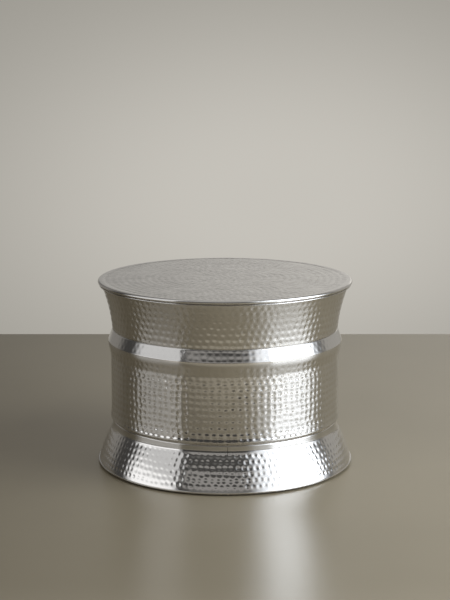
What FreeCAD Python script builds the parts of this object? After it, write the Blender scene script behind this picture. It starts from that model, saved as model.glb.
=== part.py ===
import FreeCAD, Part
import collections
import math
import operator
import os
import Sketcher

# Drum side table of hammered sheet metal, in millimetres, +Z up.
# The origin lies on the floor under the middle of the table.
# Three spun shells stand on each other and are riveted through flanges turned inwards, so no
# fastener shows outside. A board carries the top sheet, whose edge is rolled round a wire hoop.

doc = FreeCAD.newDocument("drum_side_table")

# Driving dimensions

DIMENSIONS = {
    # whole table
    "table_height": "440",
    "top_diameter": "600",
    "drum_inset": "29",
    "base_projection": "32.6",
    "floor_gap": "4",
    # sheet metal
    "shell_gauge": "1.2",
    "bend_radius": "2.4",
    "cut_overrun": "2",
    # top sheet, its rolled edge and the wire inside
    "panel_gauge": "1.2",
    "wire_diameter": "5.4",
    "wire_clearance": "0.3",
    "roll_angle": "270",
    # board under the top sheet
    "board_depth": "12",
    "board_clearance": "0.2",
    # collar: folded lip under the rolled edge, flare and neck
    "lip_clearance": "0.8",
    "lip_overhang": "5",
    "rim_overhang": "7.6",
    "flare_radius": "380",
    "upper_neck_depth": "3.7",
    "collar_depth": "116",
    # drum: ridge below its neck, straight wall and splayed foot
    "ridge_drop": "27",
    "ridge_projection": "6",
    "ridge_land": "10",
    "ridge_round": "2.5",
    "cove_drop": "23",
    "cove_round": "40",
    "splay_rise": "33.5",
    "splay_radius": "230",
    "splay_projection": "2.4",
    "splay_edge_rise": "6.5",
    # skirt: neck band, bowed wall and hem
    "skirt_height": "106",
    "lower_neck_depth": "3",
    "neck_band_depth": "16",
    "neck_round": "24",
    "skirt_bow_radius": "450",
    "hem_depth": "3.6",
    "hem_step": "0.8",
    # flanges turned inwards at the two joints, and their rivets
    "joint_flange_width": "22",
    "rivet_count": "12",
    "rivet_inset": "10",
    "rivet_diameter": "4",
    "rivet_clearance": "0.1",
    "rivet_head_diameter": "8",
    "rivet_head_depth": "1.4",
    "rivet_tail_diameter": "6.2",
    "rivet_tail_depth": "1.6",
    # base flange, steel hoop on it and glides under it
    "base_flange_width": "25",
    "hoop_inset": "6",
    "hoop_width": "18",
    "hoop_depth": "3",
    "glide_count": "6",
    "glide_diameter": "18",
    "glide_bevel": "0.8",
    # countersunk screws with washers and nuts
    "screw_diameter": "4",
    "screw_clearance": "0.15",
    "screw_head_diameter": "7.6",
    "screw_head_recess": "0.6",
    "screw_tip_length": "1.5",
    "washer_diameter": "9",
    "washer_depth": "0.8",
    "nut_across_flats": "7",
    "nut_depth": "3.2",
    "thread_clearance": "0.05",
}

FULL_TURN = 360
HALF_TURN = 180
QUARTER_TURN = 90
NUT_SIDES = 6
MATCH_SHARE = 1e-6


def make_sheet():
    """Put each driving dimension into a named cell."""
    cells = doc.addObject("Spreadsheet::Sheet", "sizes")
    for row, (name, value) in enumerate(DIMENSIONS.items(), start=1):
        cells.set(f"A{row}", name)
        cells.set(f"B{row}", value)
        cells.setAlias(f"B{row}", name)
    doc.recompute()
    return cells


SIGNS = {"+": operator.add, "-": operator.sub, "*": operator.mul, "/": operator.truediv}


class Size:
    """A size with its value now and the cell expression that drives it."""

    def __init__(self, value, text):
        self.value = value
        self.text = text

    @staticmethod
    def of(thing):
        return thing if isinstance(thing, Size) else Size(thing, str(thing))

    def joined(self, sign, other):
        other = Size.of(other)
        return Size(SIGNS[sign](self.value, other.value), f"({self.text} {sign} {other.text})")

    def __add__(self, other):
        return self.joined("+", other)

    def __sub__(self, other):
        return self.joined("-", other)

    def __mul__(self, other):
        return self.joined("*", other)

    def __truediv__(self, other):
        return self.joined("/", other)

    def root(self):
        return Size(math.sqrt(self.value), f"sqrt({self.text})")

    def cosine(self):
        return Size(math.cos(math.radians(self.value)), f"cos({self.text})")

    def sine(self):
        return Size(math.sin(math.radians(self.value)), f"sin({self.text})")


sheet = make_sheet()
size = {name: Size(sheet.get(name), f"{sheet.Name}.{name}") for name in DIMENSIONS}
ZERO = Size.of(0)


def half(name):
    """Half of a named size, such as the radius of a named diameter."""
    return size[name] / 2


# Places that several pieces share, worked out from the driving dimensions

gauge = size["shell_gauge"]
rim_radius = half("top_diameter")
drum_radius = rim_radius - size["drum_inset"]
base_radius = drum_radius + size["base_projection"]

roll_bore = half("wire_diameter") + size["wire_clearance"]
roll_radius = roll_bore + size["panel_gauge"]
roll_centre = rim_radius - roll_radius
roll_height = size["table_height"] - roll_radius
panel_underside = size["table_height"] - size["panel_gauge"]
board_underside = panel_underside - size["board_depth"]

lip_top = roll_height - roll_radius - size["lip_clearance"]
lip_depth = gauge * 2
collar_radius = rim_radius - size["rim_overhang"]

upper_joint = size["table_height"] - size["collar_depth"]
upper_neck = drum_radius - size["upper_neck_depth"]
upper_flange_bore = upper_neck - size["joint_flange_width"]
lower_joint = size["skirt_height"]
lower_neck = drum_radius - size["lower_neck_depth"]
lower_flange_bore = lower_neck - size["joint_flange_width"]

skirt_radius = base_radius - size["hem_step"]
base_flange_bore = base_radius - size["base_flange_width"]
base_flange_top = size["floor_gap"] + gauge
hoop_radius = base_radius - size["hoop_inset"]
hoop_bore = hoop_radius - size["hoop_width"]
hoop_top = base_flange_top + size["hoop_depth"]
glide_circle = hoop_radius - half("hoop_width")
screw_bore = half("screw_diameter") + size["screw_clearance"]
rivet_bore = half("rivet_diameter") + size["rivet_clearance"]
upper_rivet_circle = upper_neck - size["rivet_inset"]
lower_rivet_circle = lower_neck - size["rivet_inset"]


def flare_wall(height, depth):
    """Radius of the collar's wall at a height, at a depth below its outer face."""
    across = collar_radius - upper_neck
    up = lip_top - upper_joint
    chord = (across * across + up * up).root()
    bend = size["flare_radius"]
    reach = (bend * bend - chord * chord / 4).root()
    centre_radius = (collar_radius + upper_neck) / 2 + reach * up / chord
    centre_height = (lip_top + upper_joint) / 2 - reach * across / chord
    rise = height - centre_height
    swing = bend + depth
    return centre_radius - (swing * swing - rise * rise).root()


# Sketches

Bow = collections.namedtuple("Bow", "radius side longer", defaults=(False,))
LEFT = 1
RIGHT = -1
ORIGIN = -1
START = 1
END = 2
CENTRE = 3


def origin_part(body, role):
    """A plane or an axis of the body's own origin."""
    return next(part for part in body.Origin.OriginFeatures if part.Role == role)


def new_sketch(body, role, height=None):
    """An empty sketch on one of the body's origin planes, lifted to a height along its normal."""
    sketch = body.newObject("Sketcher::SketchObject", f"{body.Name}_sketch")
    sketch.AttachmentSupport = [(origin_part(body, role), "")]
    sketch.MapMode = "FlatFace"
    if height is not None:
        sketch.setExpression("AttachmentOffset.Base.z", height.text)
    return sketch


def bind(sketch, constraint, length):
    """Add a constraint whose value follows a size."""
    index = sketch.addConstraint(constraint)
    sketch.setExpression(f"Constraints[{index}]", length.text)


def hold_point(sketch, geometry, end, point):
    """Hold a point of the sketch by its two distances from the sketch's origin."""
    for kind, length in zip(("DistanceX", "DistanceY"), point):
        bind(sketch, Sketcher.Constraint(kind, ORIGIN, START, geometry, end, length.value), length)


def flat(point):
    """Where a point lies in the sketch now."""
    return FreeCAD.Vector(point[0].value, point[1].value, 0)


def left_of(start, finish):
    """The unit step to the left of the way from start to finish."""
    way = finish - start
    return FreeCAD.Vector(-way.y, way.x, 0).normalize()


def arc_between(start, finish, bow):
    """The arc from start to finish that swells to the bow's side."""
    across = left_of(start, finish) * bow.side
    chord = start.distanceToPoint(finish)
    reach = math.sqrt(bow.radius.value ** 2 - chord ** 2 / 4)
    rise = bow.radius.value + (reach if bow.longer else -reach)
    return Part.Arc(start, (start + finish) / 2 + across * rise, finish)


def draw_run(sketch, places, bows):
    """Draw a run of lines and arcs. Each side is returned as its index and its two ends in order."""
    sides = []
    for side, (start, finish) in enumerate(zip(places, places[1:])):
        line = arc_between(start, finish, bows[side]) if side in bows else Part.LineSegment(start, finish)
        index = sketch.addGeometry(line, False)
        first = sketch.getPoint(index, START)
        forward = first.distanceToPoint(start) < first.distanceToPoint(finish)
        sides.append((index, START, END) if forward else (index, END, START))
    for (index, _, last), (after, first, _) in zip(sides, sides[1:]):
        sketch.addConstraint(Sketcher.Constraint("Coincident", index, last, after, first))
    return sides


def hold_bows(sketch, sides, bows):
    """Hold the radius of every side that is an arc."""
    for side, bow in bows.items():
        bind(sketch, Sketcher.Constraint("Radius", sides[side][0], bow.radius.value), bow.radius)


def draw_outline(sketch, corners, bows):
    """Draw a closed outline through the corners. bows tells which sides are arcs."""
    places = [flat(corner) for corner in corners]
    sides = draw_run(sketch, places + places[:1], bows)
    (start, first, _), (end, _, last) = sides[0], sides[-1]
    sketch.addConstraint(Sketcher.Constraint("Coincident", end, last, start, first))
    for (index, first, _), corner in zip(sides, corners):
        hold_point(sketch, index, first, corner)
    hold_bows(sketch, sides, bows)


def inner_places(places, depth):
    """Where the corners of the sheet's inner face lie, near enough for the sketch to settle."""
    steps = [left_of(start, finish) for start, finish in zip(places, places[1:])]
    found = [places[0] + steps[0] * depth]
    for place, before, after in zip(places[1:], steps, steps[1:]):
        found.append(place + (before + after) * (depth / (1 + before.dot(after))))
    return found + [places[-1] + steps[-1] * depth]


def draw_sheet(sketch, corners, bows, caps):
    """Draw the section of a bent sheet: its outer face through the corners, its inner face a gauge
    to the left, and a cap at each end that lies the given way. The inner sides are returned."""
    places = [flat(corner) for corner in corners]
    outer = draw_run(sketch, places, bows)
    for (index, first, _), corner in zip(outer, corners):
        hold_point(sketch, index, first, corner)
    hold_point(sketch, outer[-1][0], outer[-1][2], corners[-1])
    hold_bows(sketch, outer, bows)

    inner_bows = {}
    for side, bow in bows.items():
        length = bow.radius + gauge if bow.side == LEFT else bow.radius - gauge
        inner_bows[side] = bow._replace(radius=length)
    inner = draw_run(sketch, inner_places(places, gauge.value), inner_bows)
    hold_bows(sketch, inner, inner_bows)
    for side, ((face, *_), (back, first, _)) in enumerate(zip(outer, inner)):
        if side in bows:
            sketch.addConstraint(Sketcher.Constraint("Coincident", back, CENTRE, face, CENTRE))
        else:
            sketch.addConstraint(Sketcher.Constraint("Parallel", back, face))
            bind(sketch, Sketcher.Constraint("Distance", back, first, face, gauge.value), gauge)

    tips = [
        (outer[0][0], outer[0][1], inner[0][0], inner[0][1]),
        (outer[-1][0], outer[-1][2], inner[-1][0], inner[-1][2]),
    ]
    for cap, (face, face_end, back, back_end) in zip(caps, tips):
        start, finish = sketch.getPoint(face, face_end), sketch.getPoint(back, back_end)
        index = sketch.addGeometry(Part.LineSegment(start, finish), False)
        sketch.addConstraint(Sketcher.Constraint("Coincident", index, START, face, face_end))
        sketch.addConstraint(Sketcher.Constraint("Coincident", index, END, back, back_end))
        sketch.addConstraint(Sketcher.Constraint(cap, index))
    return inner


def draw_circle(sketch, centre, length):
    """Draw a circle of a given radius."""
    index = sketch.addGeometry(Part.Circle(flat(centre), FreeCAD.Vector(0, 0, 1), length.value), False)
    hold_point(sketch, index, CENTRE, centre)
    bind(sketch, Sketcher.Constraint("Radius", index, length.value), length)


# Features

def new_body(name):
    body = doc.addObject("PartDesign::Body", name)
    body.Label = name
    return body


def spin(body, sketch, axis="V_Axis"):
    """Spin a sketch a full turn about an axis of its own."""
    feature = body.newObject("PartDesign::Revolution", f"{body.Name}_turned")
    feature.Profile = sketch
    feature.ReferenceAxis = (sketch, [axis])
    feature.Angle = FULL_TURN
    doc.recompute()
    return feature


def turned(body, corners, bows=None):
    """Turn a ring or a disc about the table's axis."""
    sketch = new_sketch(body, "XZ_Plane")
    draw_outline(sketch, corners, bows or {})
    return spin(body, sketch)


def turned_beside(body, axis_radius, corners, bows=None):
    """Turn a small piece about an upright axis that stands away from the table's own."""
    sketch = new_sketch(body, "XZ_Plane")
    draw_outline(sketch, corners, bows or {})
    foot, head = (axis_radius, corners[0][1]), (axis_radius, corners[-1][1])
    index = sketch.addGeometry(Part.LineSegment(flat(foot), flat(head)), True)
    hold_point(sketch, index, START, foot)
    hold_point(sketch, index, END, head)
    return spin(body, sketch, "Axis0")


def same(one, other):
    return math.isclose(one, other, rel_tol=MATCH_SHARE)


def ring_edges(shape, place):
    """Names of the circular edges that a corner of the outline has swept."""
    names = []
    for index, edge in enumerate(shape.Edges, start=1):
        curve = edge.Curve
        if isinstance(curve, Part.Circle) and same(curve.Radius, place.x) and same(curve.Center.z, place.y):
            names.append(f"Edge{index}")
    return names


def rounded(body, base, place, length):
    """Round the edges that a corner of the outline has swept."""
    feature = body.newObject("PartDesign::Fillet", f"{body.Name}_round")
    feature.Base = (base, ring_edges(base.Shape, place))
    feature.setExpression("Radius", length.text)
    doc.recompute()
    return feature


def spun_sheet(body, corners, bows, rounds, caps=("Vertical", "Vertical")):
    """Spin a bent sheet about the table's axis. rounds gives the outer radius of each bend."""
    sketch = new_sketch(body, "XZ_Plane")
    inner = draw_sheet(sketch, corners, bows, caps)
    feature = spin(body, sketch)
    inside = [sketch.getPoint(index, first) for index, first, _ in inner]
    for corner, length in rounds.items():
        before, here, after = (flat(corners[index]) for index in (corner - 1, corner, corner + 1))
        inward = (after - here).dot(left_of(before, here)) > 0
        feature = rounded(body, feature, here, length)
        feature = rounded(body, feature, inside[corner], length - gauge if inward else length + gauge)
    return feature


def ring_of(body, feature, count):
    """Repeat a feature round the table's axis."""
    pattern = body.newObject("PartDesign::PolarPattern", f"{body.Name}_ring")
    pattern.Originals = [feature]
    pattern.Axis = (origin_part(body, "Z_Axis"), [""])
    pattern.Angle = FULL_TURN
    pattern.setExpression("Occurrences", count.text)
    body.Tip = pattern
    doc.recompute()
    return pattern


def half_pitch(count):
    """Angle of the first of a ring of places, half a step from the X axis."""
    return Size.of(HALF_TURN) / count


def drilled(body, circle, bore, count, height, depth):
    """Drill a ring of holes through a level sheet whose middle lies at a height."""
    before = body.Shape.Volume
    sketch = new_sketch(body, "XY_Plane", height)
    angle = half_pitch(count)
    draw_circle(sketch, (circle * angle.cosine(), circle * angle.sine()), bore)
    pocket = body.newObject("PartDesign::Pocket", f"{body.Name}_hole")
    pocket.Profile = sketch
    pocket.SideType = "Symmetric"
    pocket.setExpression("Length", (depth + size["cut_overrun"]).text)
    doc.recompute()
    ring_of(body, pocket, count)
    if not body.Shape.Volume < before:
        raise ValueError(f"{body.Name}: the holes cut nothing")


def turn_by(body, angle):
    """Turn a piece about the table's axis."""
    body.setExpression("Placement.Rotation.Angle", f"{angle.text} * 1 deg")


# The lid: top sheet, wire and board

def make_top_panel():
    """Flat sheet whose edge is rolled down and under round the wire."""
    end = Size.of(QUARTER_TURN) - size["roll_angle"]
    end_outside = (roll_centre + roll_radius * end.cosine(), roll_height + roll_radius * end.sine())
    end_inside = (roll_centre + roll_bore * end.cosine(), roll_height + roll_bore * end.sine())
    corners = [
        (ZERO, size["table_height"]),
        (roll_centre, size["table_height"]),
        end_outside,
        end_inside,
        (roll_centre, panel_underside),
        (ZERO, panel_underside),
    ]
    body = new_body("top_panel")
    turned(body, corners, {1: Bow(roll_radius, LEFT, True), 3: Bow(roll_bore, RIGHT, True)})
    return body


def make_rim_wire():
    """Wire hoop inside the rolled edge."""
    wire = doc.addObject("Part::Torus", "rim_wire")
    wire.Label = "rim_wire"
    wire.setExpression("Radius1", roll_centre.text)
    wire.setExpression("Radius2", half("wire_diameter").text)
    wire.setExpression("Placement.Base.z", roll_height.text)
    return wire


def make_top_board():
    """Round board, glued under the top sheet, whose tapered edge wedges in the collar's flare."""
    edge_top = flare_wall(lip_top, gauge) - size["board_clearance"]
    edge_foot = flare_wall(board_underside, gauge) - size["board_clearance"]
    corners = [
        (ZERO, board_underside),
        (edge_foot, board_underside),
        (edge_top, lip_top),
        (edge_top, panel_underside),
        (ZERO, panel_underside),
    ]
    body = new_body("top_board")
    turned(body, corners)
    return body


# The three spun shells

def make_upper_shell():
    """Flared collar with a folded lip at its top and a flange turned in at its neck."""
    corners = [
        (upper_flange_bore, upper_joint),
        (upper_neck, upper_joint),
        (collar_radius, lip_top),
    ]
    body = new_body("upper_shell")
    spun_sheet(body, corners, {1: Bow(size["flare_radius"], LEFT)}, {1: size["bend_radius"]},
               caps=("Vertical", "Horizontal"))
    add_lip(body)
    drilled(body, upper_rivet_circle, rivet_bore, size["rivet_count"], upper_joint + gauge / 2, gauge)
    return body


def add_lip(body):
    """Fold the top of the collar outwards and back, which leaves a round edge two sheets deep."""
    inside = flare_wall(lip_top - lip_depth / 2, gauge / 2)
    outside = collar_radius + size["lip_overhang"]
    foot = lip_top - lip_depth
    corners = [
        (inside, foot),
        (outside - gauge, foot),
        (outside, foot + gauge),
        (outside - gauge, lip_top),
        (inside, lip_top),
    ]
    turned(body, corners, {1: Bow(gauge, RIGHT), 2: Bow(gauge, RIGHT)})


def make_middle_shell():
    """Drum with a sharp ridge under its neck, a splayed foot and a flange turned in at each end."""
    ridge = drum_radius + size["ridge_projection"]
    ridge_height = upper_joint - size["ridge_drop"]
    land_foot = ridge_height - size["ridge_land"]
    corners = [
        (lower_flange_bore, lower_joint),
        (lower_neck, lower_joint),
        (drum_radius + size["splay_projection"], lower_joint + size["splay_edge_rise"]),
        (drum_radius, lower_joint + size["splay_edge_rise"] + size["splay_rise"]),
        (drum_radius, land_foot - size["cove_drop"]),
        (ridge, land_foot),
        (ridge, ridge_height),
        (upper_neck, upper_joint),
        (upper_flange_bore, upper_joint),
    ]
    rounds = {
        1: size["bend_radius"],
        2: size["ridge_round"],
        4: size["cove_round"],
        5: size["cove_round"],
        6: size["ridge_round"],
        7: size["bend_radius"],
    }
    body = new_body("middle_shell")
    spun_sheet(body, corners, {2: Bow(size["splay_radius"], LEFT)}, rounds)
    drilled(body, upper_rivet_circle, rivet_bore, size["rivet_count"], upper_joint - gauge / 2, gauge)
    drilled(body, lower_rivet_circle, rivet_bore, size["rivet_count"], lower_joint + gauge / 2, gauge)
    return body


def make_lower_shell():
    """Skirt that bows out from a plain neck band to the hem, with a flange turned in at each end."""
    neck_foot = lower_joint - size["neck_band_depth"]
    corners = [
        (base_flange_bore, size["floor_gap"]),
        (skirt_radius, size["floor_gap"]),
        (lower_neck, neck_foot),
        (lower_neck, lower_joint),
        (lower_flange_bore, lower_joint),
    ]
    body = new_body("lower_shell")
    rounds = {2: size["neck_round"], 3: size["bend_radius"]}
    spun_sheet(body, corners, {1: Bow(size["skirt_bow_radius"], RIGHT)}, rounds)
    add_hem(body)
    drilled(body, lower_rivet_circle, rivet_bore, size["rivet_count"], lower_joint - gauge / 2, gauge)
    drilled(body, glide_circle, screw_bore, size["glide_count"], size["floor_gap"] + gauge / 2, gauge)
    return body


def add_hem(body):
    """Narrow hem that stands proud round the foot of the skirt."""
    step = size["hem_step"]
    foot = size["floor_gap"]
    head = foot + size["hem_depth"]
    corners = [
        (skirt_radius - gauge, foot),
        (skirt_radius, foot),
        (base_radius, foot + step),
        (base_radius, head - step),
        (skirt_radius, head),
        (skirt_radius - gauge, head),
    ]
    turned(body, corners, {1: Bow(step, RIGHT), 3: Bow(step, RIGHT)})


# Rivets of the two flange joints

def make_rivets(name, circle, joint):
    """Ring of rivets through a pair of flanges, domed above and set flat below."""
    shank = circle + half("rivet_diameter")
    head = circle + half("rivet_head_diameter")
    tail = circle + half("rivet_tail_diameter")
    head_radius = half("rivet_head_diameter")
    head_depth = size["rivet_head_depth"]
    dome = (head_radius * head_radius + head_depth * head_depth) / (head_depth * 2)
    below = joint - gauge
    above = joint + gauge
    corners = [
        (circle, below - size["rivet_tail_depth"]),
        (tail, below - size["rivet_tail_depth"]),
        (tail, below),
        (shank, below),
        (shank, above),
        (head, above),
        (circle, above + head_depth),
    ]
    body = new_body(name)
    rivet = turned_beside(body, circle, corners, {5: Bow(dome, RIGHT)})
    ring_of(body, rivet, size["rivet_count"])
    turn_by(body, half_pitch(size["rivet_count"]))
    return body


# The foot: steel hoop, glides and their screws

def make_base_ring():
    """Flat steel hoop on the base flange, which spreads the load of the glides."""
    corners = [
        (hoop_bore, base_flange_top),
        (hoop_radius, base_flange_top),
        (hoop_radius, hoop_top),
        (hoop_bore, hoop_top),
    ]
    body = new_body("base_ring")
    turned(body, corners)
    drilled(body, glide_circle, screw_bore, size["glide_count"],
            base_flange_top + size["hoop_depth"] / 2, size["hoop_depth"])
    return body


def make_glide(number):
    """Plastic glide with a bevelled foot and a countersunk hole."""
    top = size["floor_gap"]
    edge = half("glide_diameter")
    bevel = size["glide_bevel"]
    recess = size["screw_head_recess"]
    head_bore = half("screw_head_diameter") + size["screw_clearance"]
    sink_top = recess + half("screw_head_diameter") - half("screw_diameter")
    corners = [
        (screw_bore, top),
        (screw_bore, sink_top),
        (head_bore, recess),
        (head_bore, ZERO),
        (edge - bevel, ZERO),
        (edge, bevel),
        (edge, top),
    ]
    body = new_body(f"glide_{number}")
    turned(body, corners)
    angle = half_pitch(size["glide_count"]) * (2 * number - 1)
    body.setExpression("Placement.Base.x", (glide_circle * angle.cosine()).text)
    body.setExpression("Placement.Base.y", (glide_circle * angle.sine()).text)
    return body


def glide_ring(body, feature):
    """Repeat one fastener above every glide."""
    ring_of(body, feature, size["glide_count"])
    turn_by(body, half_pitch(size["glide_count"]))
    return body


washer_top = hoop_top + size["washer_depth"]
nut_top = washer_top + size["nut_depth"]


def make_screws():
    """Countersunk screws, pushed up through glide, flange and hoop."""
    shank = half("screw_diameter")
    head = half("screw_head_diameter")
    foot = size["screw_head_recess"]
    tip = nut_top + size["screw_tip_length"]
    corners = [
        (glide_circle, foot),
        (glide_circle + head, foot),
        (glide_circle + shank, foot + head - shank),
        (glide_circle + shank, tip),
        (glide_circle, tip),
    ]
    body = new_body("glide_screws")
    return glide_ring(body, turned_beside(body, glide_circle, corners))


def make_washers():
    """Plain washers on the hoop."""
    edge = half("washer_diameter")
    corners = [
        (glide_circle + screw_bore, hoop_top),
        (glide_circle + edge, hoop_top),
        (glide_circle + edge, washer_top),
        (glide_circle + screw_bore, washer_top),
    ]
    body = new_body("glide_washers")
    return glide_ring(body, turned_beside(body, glide_circle, corners))


def make_nuts():
    """Hexagon nuts on the washers."""
    body = new_body("glide_nuts")
    sketch = new_sketch(body, "XY_Plane", washer_top)
    corner_reach = half("nut_across_flats") / (Size.of(HALF_TURN) / NUT_SIDES).cosine()
    corners = []
    for side in range(NUT_SIDES):
        angle = Size.of(FULL_TURN) / NUT_SIDES * side
        corners.append((glide_circle + corner_reach * angle.cosine(), corner_reach * angle.sine()))
    draw_outline(sketch, corners, {})
    draw_circle(sketch, (glide_circle, ZERO), half("screw_diameter") + size["thread_clearance"])
    nut = body.newObject("PartDesign::Pad", f"{body.Name}_pad")
    nut.Profile = sketch
    nut.setExpression("Length", size["nut_depth"].text)
    doc.recompute()
    return glide_ring(body, nut)


# The whole table

pieces = [
    make_top_panel(),
    make_rim_wire(),
    make_top_board(),
    make_upper_shell(),
    make_middle_shell(),
    make_lower_shell(),
    make_rivets("upper_joint_rivets", upper_rivet_circle, upper_joint),
    make_rivets("lower_joint_rivets", lower_rivet_circle, lower_joint),
    make_base_ring(),
    *[make_glide(number) for number in range(1, round(size["glide_count"].value) + 1)],
    make_screws(),
    make_washers(),
    make_nuts(),
]
doc.recompute()

for item in doc.Objects:
    if "Invalid" in item.State or "Error" in item.State:
        raise ValueError(f"{item.Name} failed: {item.State}")

for piece in pieces:
    if piece.Shape.isNull() or not piece.Shape.isValid():
        raise ValueError(f"{piece.Label} has no sound shape")

os.makedirs("parts", exist_ok=True)
for piece in pieces:
    piece.Shape.exportStep(f"parts/{piece.Label}.step")
    print(piece.Label, len(piece.Shape.Solids), "solids,", round(piece.Shape.Volume), "cubic mm")
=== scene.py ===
# %% [markdown]
# # A hammered drum side table
# The table is sheet-metal work. Three spun shells stand on each other, a flat lid with a rolled edge
# closes them, and most of the outside is beaten by hand with a round-nosed hammer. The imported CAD
# part already holds the true sizes, so it is loaded first and never moved. Below, each CAD node gets
# a better finish or is replaced by a sheet of the same size that shows the hammer work, and a plain
# room lights the result.

# %% Load the frame
import math

import bmesh
import bpy
import numpy as np
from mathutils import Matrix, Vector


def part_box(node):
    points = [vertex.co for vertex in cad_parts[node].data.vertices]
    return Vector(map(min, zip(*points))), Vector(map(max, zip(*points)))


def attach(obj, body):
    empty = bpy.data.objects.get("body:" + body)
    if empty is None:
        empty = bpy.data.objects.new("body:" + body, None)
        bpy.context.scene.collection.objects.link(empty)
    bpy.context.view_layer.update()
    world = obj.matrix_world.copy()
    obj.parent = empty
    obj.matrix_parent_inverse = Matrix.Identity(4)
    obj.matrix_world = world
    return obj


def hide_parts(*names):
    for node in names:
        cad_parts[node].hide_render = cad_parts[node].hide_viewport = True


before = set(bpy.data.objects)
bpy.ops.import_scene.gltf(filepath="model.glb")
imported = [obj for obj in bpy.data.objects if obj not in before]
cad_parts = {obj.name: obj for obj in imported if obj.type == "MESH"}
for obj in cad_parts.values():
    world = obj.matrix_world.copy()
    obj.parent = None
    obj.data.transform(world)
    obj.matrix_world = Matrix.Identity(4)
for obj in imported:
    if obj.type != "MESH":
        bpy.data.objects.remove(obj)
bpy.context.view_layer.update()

# %% [markdown]
# ## The camera
# The ellipses of the top and the base tell how a photograph was taken: the flatter they are, the
# lower the camera stood, and the more they differ, the nearer it was. A long lens from three and a
# half metres away, a little over a metre high, gives both ellipses and the size in the picture.

# %% Camera
CAMERA_PLACE = (0.0, -3.5, 1.052)
CAMERA_DIP_DEG = 10.77
CAMERA_LENS_MM = 90.18
UPRIGHT_DEG = 90

scene = bpy.context.scene
scene.view_settings.view_transform = "Standard"

camera = bpy.data.objects.new("camera", bpy.data.cameras.new("camera"))
camera.data.lens = CAMERA_LENS_MM
camera.location = CAMERA_PLACE
camera.rotation_euler = (math.radians(UPRIGHT_DEG - CAMERA_DIP_DEG), 0, 0)
scene.collection.objects.link(camera)
scene.camera = camera
print("camera at", CAMERA_PLACE, "looking down", CAMERA_DIP_DEG, "degrees")

# %% [markdown]
# ## Writing node trees as sums
# Both the hammer work and the finishes are node trees. A node tree is easier to read as a formula
# than as a list of links, so one small class stands for a number that flows through a tree: adding
# or multiplying two of them adds a Math node. Every other node comes from one method, which takes
# the node's type, its settings and what goes into its sockets.

# %% Numbers in a tree


class Value:
    """A socket of a tree. Sums on it add Math nodes."""

    def __init__(self, tree, socket):
        self.tree = tree
        self.socket = socket

    def other(self, name):
        """Another output of the same node."""
        return Value(self.tree, self.socket.node.outputs[name])

    def math(self, operation, *terms):
        return self.tree.node("ShaderNodeMath", {"operation": operation}, dict(enumerate(terms)))

    def __add__(self, term):
        return self.math("ADD", self, term)

    def __radd__(self, term):
        return self.math("ADD", term, self)

    def __sub__(self, term):
        return self.math("SUBTRACT", self, term)

    def __rsub__(self, term):
        return self.math("SUBTRACT", term, self)

    def __mul__(self, term):
        return self.math("MULTIPLY", self, term)

    def __rmul__(self, term):
        return self.math("MULTIPLY", term, self)

    def __truediv__(self, term):
        return self.math("DIVIDE", self, term)

    def __rtruediv__(self, term):
        return self.math("DIVIDE", term, self)

    def __lt__(self, term):
        return self.math("LESS_THAN", self, term)

    def __gt__(self, term):
        return self.math("GREATER_THAN", self, term)

    def __abs__(self):
        return self.math("ABSOLUTE", self)

    def at_least(self, term):
        return self.math("MAXIMUM", self, term)

    def power(self, term):
        return self.math("POWER", self, term)

    def cosine(self):
        return self.math("COSINE", self)

    def sine(self):
        return self.math("SINE", self)

    def rounded(self):
        return self.math("ROUND", self)

    def ramp(self, low, high):
        """A smooth step from 0 at low to 1 at high."""
        sockets = {"Value": self, "From Min": low, "From Max": high}
        return self.tree.node("ShaderNodeMapRange", {"interpolation_type": "SMOOTHSTEP"}, sockets)


print("numbers for trees ready")

# %% Trees
MIX_COLOURS = (6, 7)
MIX_RESULT = 2


class Tree:
    """A node tree under construction."""

    def __init__(self, made):
        self.made = made

    def node(self, kind, settings=None, sockets=None, output=0):
        """Add a node, set it, fill its sockets and return one of its outputs."""
        added = self.made.nodes.new(kind)
        for name, setting in (settings or {}).items():
            setattr(added, name, setting)
        for key, filling in (sockets or {}).items():
            if isinstance(filling, Value):
                self.made.links.new(filling.socket, added.inputs[key])
            else:
                added.inputs[key].default_value = filling
        return Value(self, added.outputs[output]) if len(added.outputs) else None

    def split(self, vector):
        """The three numbers of a vector."""
        parts = self.node("ShaderNodeSeparateXYZ", {}, {"Vector": vector})
        return parts, parts.other("Y"), parts.other("Z")

    def join(self, x, y, z):
        return self.node("ShaderNodeCombineXYZ", {}, {"X": x, "Y": y, "Z": z})

    def vector(self, operation, sockets, output=0):
        return self.node("ShaderNodeVectorMath", {"operation": operation}, sockets, output)

    def mixed(self, share, *colours):
        """A colour between two others, each a socket or a plain colour."""
        sockets = {0: share}
        for key, colour in zip(MIX_COLOURS, colours):
            sockets[key] = colour if isinstance(colour, Value) else (*colour, 1)
        return self.node("ShaderNodeMix", {"data_type": "RGBA"}, sockets, MIX_RESULT)


print("tree builder ready")

# %% Geometry trees
RANDOM_LOW = 2
RANDOM_HIGH = 3
RANDOM_RESULT = 1


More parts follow.
